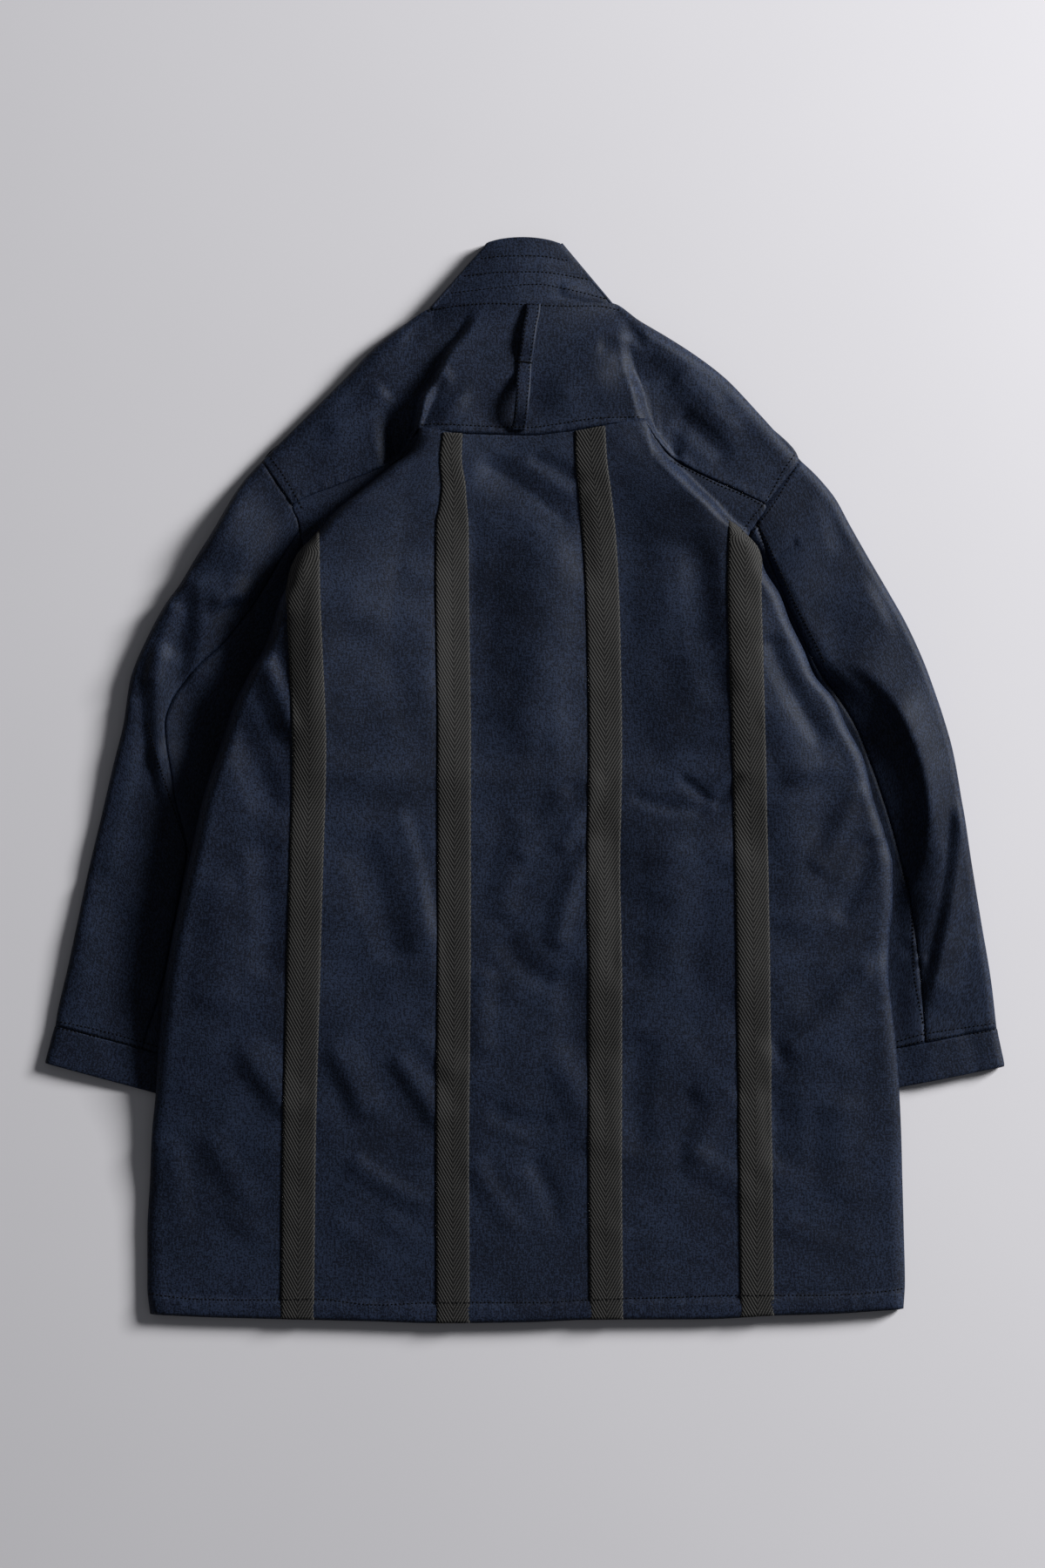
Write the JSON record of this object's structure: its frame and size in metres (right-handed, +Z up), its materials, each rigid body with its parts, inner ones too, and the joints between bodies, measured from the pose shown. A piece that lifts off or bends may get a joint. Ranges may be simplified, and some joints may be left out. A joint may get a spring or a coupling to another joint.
{
  "type": "haori coat",
  "caption": "Open-fronted denim haori laid out face down, sleeves drawn down beside the body, herringbone tapes down the back and a hanger loop on the yoke.",
  "frame": {"origin": "bottom centre of the bounding box, on the surface that the coat lies on", "axes": "+Z up out of the surface; +Y towards the collar; +X to the right as seen from above with the collar at the top"},
  "size_m": [0.8298, 0.9375, 0.0428],
  "materials": {
    "denim": "dark navy denim with a faint slub and a low sheen",
    "herringbone_tape": "matt grey herringbone twill tape"
  },
  "bodies": {
    "root": {"back_panel": "denim", "back_yoke": "denim", "front_left": "denim", "front_right": "denim", "sleeve_left": "denim", "sleeve_right": "denim", "undersleeve_left": "denim", "undersleeve_right": "denim", "cuff_left": "denim", "cuff_right": "denim", "collar_band": "denim", "hanger_loop": "denim", "tape_1": "herringbone_tape", "tape_2": "herringbone_tape", "tape_3": "herringbone_tape", "tape_4": "herringbone_tape"}
  },
  "joints": []
}
